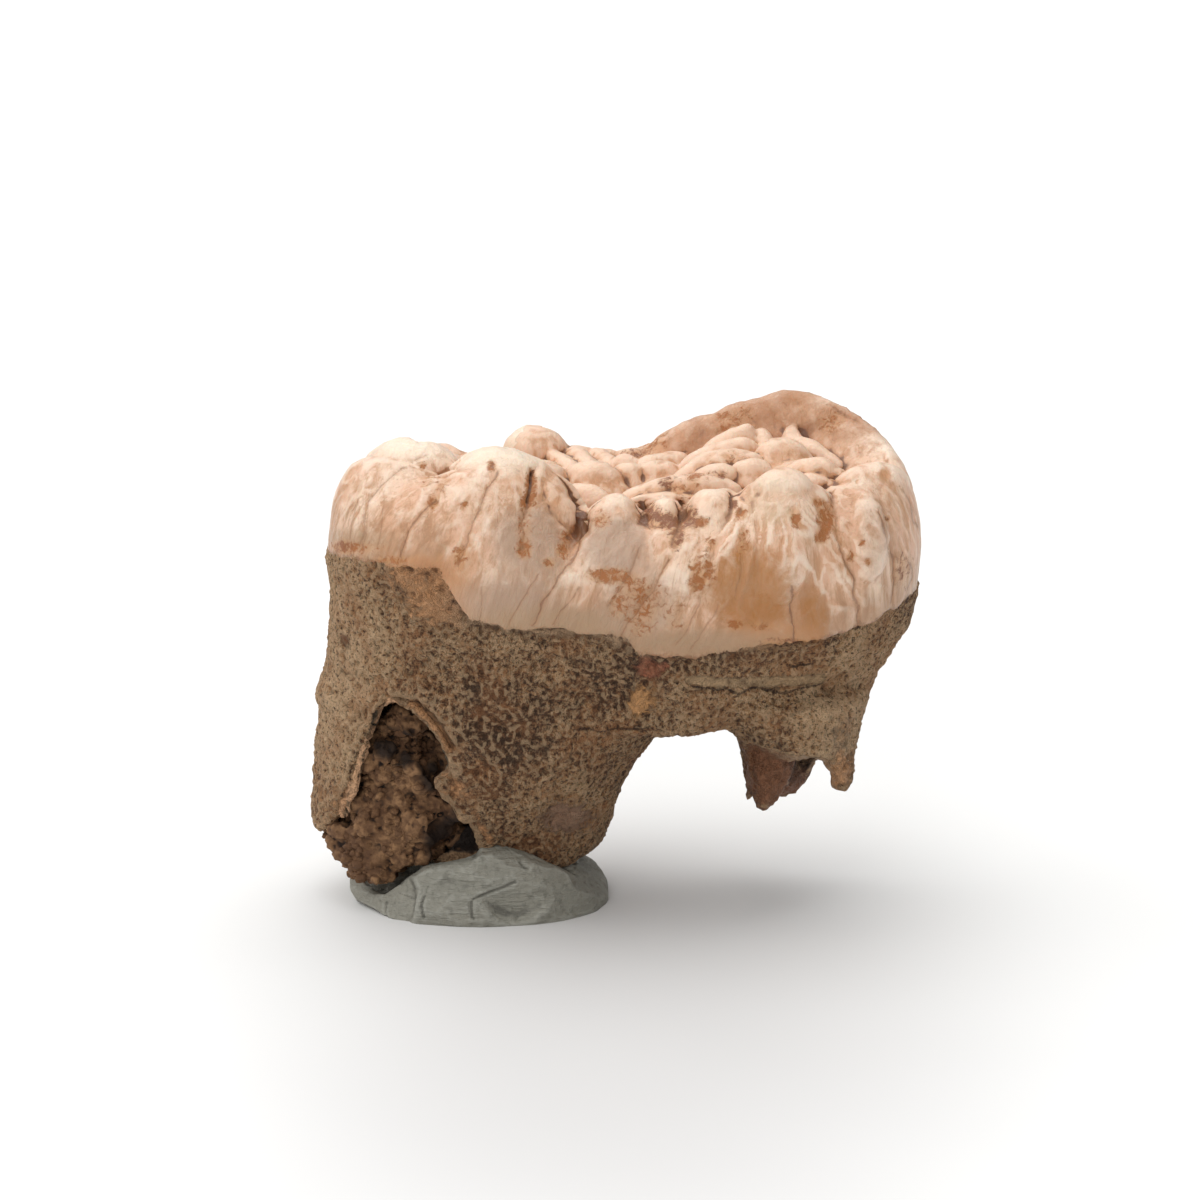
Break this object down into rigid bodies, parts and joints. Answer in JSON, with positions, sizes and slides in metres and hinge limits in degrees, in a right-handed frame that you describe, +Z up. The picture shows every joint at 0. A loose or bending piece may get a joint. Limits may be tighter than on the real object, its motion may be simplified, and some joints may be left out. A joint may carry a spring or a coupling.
{
  "type": "fossil cave bear molar",
  "caption": "Fossil cheek tooth of a cave bear: long lobed crown with a wrinkled basin, broken hollow roots with cave earth in one, stood upright in a lump of putty.",
  "frame": {"origin": "under the middle of the whole object, on the flat underside of the putty", "axes": "+X along the crown from its two high lobes to its basin end, +Y across it, away from the side with the broken window in the left root, +Z up"},
  "size_m": [0.0311, 0.018, 0.0252],
  "materials": {
    "fossil_tooth": "satin",
    "cave_earth": "matte",
    "putty": "matte"
  },
  "bodies": {
    "root": {"molar": "fossil_tooth", "sediment_fill": "cave_earth", "putty_mount": "putty"}
  },
  "joints": []
}
